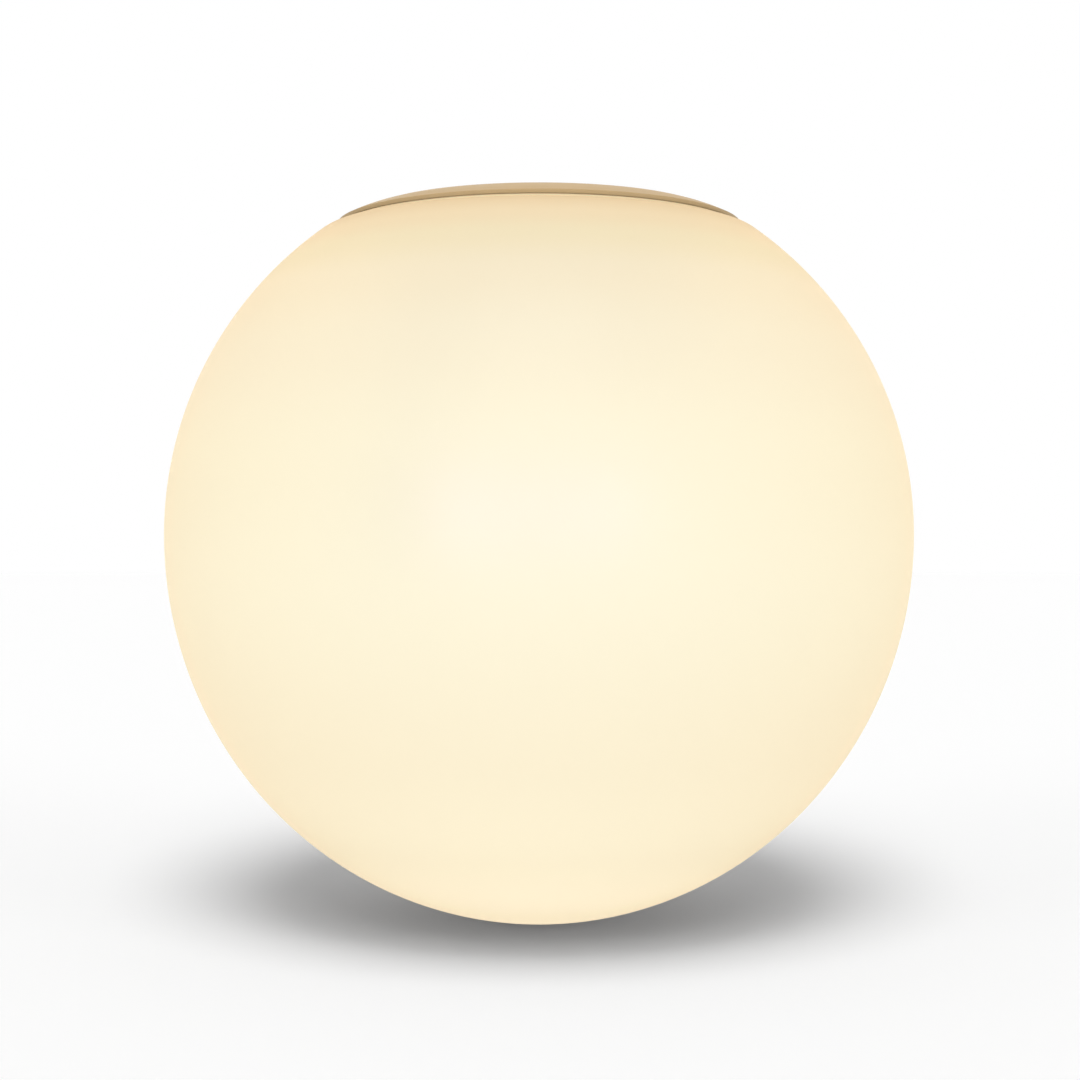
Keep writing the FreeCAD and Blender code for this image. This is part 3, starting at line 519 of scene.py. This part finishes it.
def buildGlobe(sizes):
    low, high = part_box("glass_globe")
    radius = high.x
    equator = Vector((0, 0, low.z + sizes["lowerHeight"]))
    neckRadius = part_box("base_housing")[1].x - sizes["rimCover"]
    landRadius = neckRadius + sizes["wall"] / 2 + sizes["landWidth"]
    shoulderHeight = math.sqrt((radius - sizes["shoulderRound"]) ** 2 - landRadius ** 2)
    shoulder = equator + Vector((landRadius, 0, shoulderHeight))
    climb = math.atan2(shoulderHeight, landRadius)

    bm = bmesh.new()
    widest = bm.verts.new(equator + Vector((radius, 0, 0)))
    turnPoint(bm, widest, equator, math.pi / 2, sizes["lowerSteps"])
    lower = [vert for vert in bm.verts if vert is not widest]
    deeper = (1, 1, sizes["lowerHeight"] / radius)
    bmesh.ops.scale(bm, verts=lower, vec=deeper, space=Matrix.Translation(-equator))
    last = turnPoint(bm, widest, equator, -climb, sizes["upperSteps"])
    last = turnPoint(bm, last, shoulder, climb - math.pi / 2, sizes["shoulderSteps"])
    lip = bmesh.ops.extrude_vert_indiv(bm, verts=[last])["verts"]
    bmesh.ops.translate(bm, verts=lip, vec=(neckRadius - landRadius, 0, 0))
    bmesh.ops.spin(bm, geom=bm.verts[:] + bm.edges[:], cent=(0, 0, 0), axis=(0, 0, 1), angle=2 * math.pi,
                   steps=sizes["aroundSteps"], use_merge=True)
    bmesh.ops.remove_doubles(bm, verts=bm.verts[:], dist=sizes["mergeDistance"])
    bmesh.ops.recalc_face_normals(bm, faces=bm.faces[:])
    for face in bm.faces:
        face.smooth = True
    mesh = bpy.data.meshes.new("opalGlobe")
    bm.to_mesh(mesh)
    bm.free()
    piece = bpy.data.objects.new("opal_globe", mesh)
    bpy.context.scene.collection.objects.link(piece)
    wall = piece.modifiers.new("wall", "SOLIDIFY")
    wall.thickness = sizes["wall"]
    wall.offset = -1.0
    wall.use_even_offset = True
    roundLip = piece.modifiers.new("roundLip", "BEVEL")
    roundLip.width = sizes["wall"] * sizes["lipRoundShare"]
    roundLip.segments = sizes["lipSegments"]
    roundLip.limit_method = "ANGLE"
    roundLip.angle_limit = math.radians(sizes["lipAngle"])
    return piece


# The painted glow of the glass from its lowest point to its neck, standing in for the lamp's light through
# it: brightest at the lowest point, with painted shade darker towards the neck under the base. Shares of its
# height, and linear colours
globePaintedGlowAndShade = {
    "stops": [
        (0.00, (0.725, 0.692, 0.588)),
        (0.05, (0.615, 0.583, 0.465)),
        (0.15, (0.520, 0.488, 0.368)),
        (0.28, (0.498, 0.461, 0.340)),
        (0.50, (0.498, 0.474, 0.357)),
        (0.66, (0.488, 0.461, 0.339)),
        (0.80, (0.474, 0.436, 0.317)),
        (0.89, (0.470, 0.420, 0.291)),
        (0.94, (0.446, 0.394, 0.240)),
        (0.97, (0.440, 0.358, 0.203)),
        (1.00, (0.378, 0.275, 0.122)),
    ],
    "body": (0.405, 0.418, 0.435),
    "transmission": 0.6,
    "ior": 1.5,
    "roughness": 0.43,
    "roughnessSpread": 0.05,
    "shine": 0.0,
    "shineColour": (0.2, 0.2, 0.2),
    "skinWeight": 1.0,                  # a clear warm skin over the white glass
    "skinTint": (1.0, 0.967, 0.920),
    "skinIor": 1.05,
    "skinRoughness": 0.5,
    "cloudiness": 0.02,
    "cloudScale": 28.0,
    "grainScale": 3400.0,
    "grainHeight": 0.00001,
}


def opalGlassFinish(look):
    material, tree, shader = newMaterial("opalGlass")
    place = addNode(tree, "TexCoord").outputs["Object"]
    low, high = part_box("glass_globe")
    height = addNode(tree, "MapRange", {
        "Value": addNode(tree, "SeparateXYZ", {0: place}).outputs[2], "From Min": low.z, "From Max": high.z})
    ramp = addNode(tree, "ValToRGB", {0: height.outputs[0]})
    ramp.color_ramp.interpolation = "EASE"
    stops = ramp.color_ramp.elements
    while len(stops) < len(look["stops"]):
        stops.new(0.5)
    for stop, (share, colour) in zip(stops, look["stops"]):
        stop.position = share
        stop.color = rgba(colour)
    skin = placeGroup(tree, mouldedSkin, {
        "Vector": place, "Colour": ramp.outputs[0], "Colour Spread": look["cloudiness"],
        "Patch Scale": look["cloudScale"], "Grain Scale": look["grainScale"],
        "Roughness": look["roughness"], "Roughness Spread": look["roughnessSpread"]})
    # painted glow by height, standing in for the lamp's light through the glass, with painted shade towards
    # the neck
    setSocket(tree, shader.inputs["Emission Color"], skin["Colour"])
    glowForSight(material, 1.0)
    shader.inputs["Base Color"].default_value = rgba(look["body"])
    shader.inputs["Transmission Weight"].default_value = look["transmission"]
    shader.inputs["IOR"].default_value = look["ior"]
    shader.inputs["Specular IOR Level"].default_value = look["shine"]
    shader.inputs["Specular Tint"].default_value = rgba(look["shineColour"])
    shader.inputs["Coat Weight"].default_value = look["skinWeight"]
    shader.inputs["Coat IOR"].default_value = look["skinIor"]
    shader.inputs["Coat Roughness"].default_value = look["skinRoughness"]
    shader.inputs["Coat Tint"].default_value = rgba(look["skinTint"])
    finishSurface(tree, shader, skin, None, look["grainHeight"])
    return material


globe = buildGlobe(globeSizes)
globe.data.materials.append(opalGlassFinish(globePaintedGlowAndShade))
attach(globe, "globe")
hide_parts("glass_globe")
print("globe made")


# Floor, light and camera
studio = {
    "floorRadius": 4.0,
    "floorSegments": 96,
    "floorColour": (0.94, 0.94, 0.94),
    "floorLift": 0.11,
    "suns": {                                   # azimuth from the camera's side, elevation, strength
        "softboxBack": (0.0, 63.5, 1.18),
        "softboxFront": (0.0, 44.6, 0.84),
        "fillLeft": (-55.0, 8.0, 0.65),
        "fillRight": (55.0, 8.0, 0.65),
    },
    "sunSpread": 31.0,
    "ambient": 0.35,
}


def buildFloor(look):
    bm = bmesh.new()
    bmesh.ops.create_circle(bm, cap_ends=True, segments=look["floorSegments"], radius=look["floorRadius"])
    bmesh.ops.translate(bm, verts=bm.verts[:], vec=(0, 0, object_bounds()[0].z))
    mesh = bpy.data.meshes.new("floor")
    bm.to_mesh(mesh)
    bm.free()
    floor = bpy.data.objects.new("floor", mesh)
    bpy.context.scene.collection.objects.link(floor)
    material, tree, shader = newMaterial("paleFloor")
    shader.inputs["Base Color"].default_value = rgba(look["floorColour"])
    shader.inputs["Roughness"].default_value = 1.0
    shader.inputs["Specular IOR Level"].default_value = 0.0
    shader.inputs["Emission Color"].default_value = rgba((1.0, 1.0, 1.0))
    seen = seenDirectly(tree)
    setSocket(tree, shader.inputs["Emission Strength"], addMath(tree, "MULTIPLY", seen, look["floorLift"]))
    under = addNode(tree, "NewGeometry").outputs["Backfacing"]
    clear = addNode(tree, "BsdfTransparent").outputs[0]
    oneSided = addNode(tree, "MixShader", {0: under, 1: shader.outputs[0], 2: clear})
    setSocket(tree, tree.nodes["Material Output"].inputs["Surface"], oneSided.outputs[0])
    mesh.materials.append(material)
    return floor


def seenDirectly(tree):
    # 1 for what the camera sees, also in gloss and through glass
    path = addNode(tree, "LightPath").outputs
    seen = addMath(tree, "MAXIMUM", path["Is Camera Ray"], path["Is Glossy Ray"])
    return addMath(tree, "MAXIMUM", seen, path["Is Transmission Ray"])


def buildWorld(look):
    world = bpy.data.worlds.new("studio")
    world.use_nodes = True
    bpy.context.scene.world = world
    tree = world.node_tree
    backdrop = tree.nodes["Background"]
    backdrop.inputs["Color"].default_value = rgba((1.0, 1.0, 1.0))
    level = addNode(tree, "MapRange", {"Value": seenDirectly(tree), "To Min": look["ambient"], "To Max": 1.0})
    setSocket(tree, backdrop.inputs["Strength"], level.outputs[0])


def buildSuns(look):
    # one long soft light above, as two wide suns that run into each other, and a low one at each side
    for name, (azimuth, elevation, strength) in look["suns"].items():
        sun = bpy.data.lights.new(name, "SUN")
        sun.energy = strength
        sun.angle = math.radians(look["sunSpread"])
        lamp = bpy.data.objects.new(name, sun)
        lamp.rotation_euler = (math.radians(90 - elevation), 0, math.radians(azimuth))
        bpy.context.scene.collection.objects.link(lamp)


cameraPlace = {
    "distance": 0.3675,
    "height": -0.0661,
    "side": 0.0002,
    "lens": 59.97,
    "sensor": 36.0,
    "clipStart": 0.01,
}


def buildCamera(place):
    data = bpy.data.cameras.new("camera")
    data.sensor_width = place["sensor"]
    data.lens = place["lens"]
    data.clip_start = place["clipStart"]
    camera = bpy.data.objects.new("camera", data)
    camera.location = (place["side"], -place["distance"], place["height"])
    camera.rotation_euler = (math.radians(90), 0, 0)
    bpy.context.scene.collection.objects.link(camera)
    bpy.context.scene.camera = camera


floor = buildFloor(studio)
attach(floor, "globe")     # a globe that is pulled down takes its floor along
buildWorld(studio)
buildSuns(studio)
buildCamera(cameraPlace)
bpy.context.scene.view_settings.view_transform = "Standard"
print("studio ready")
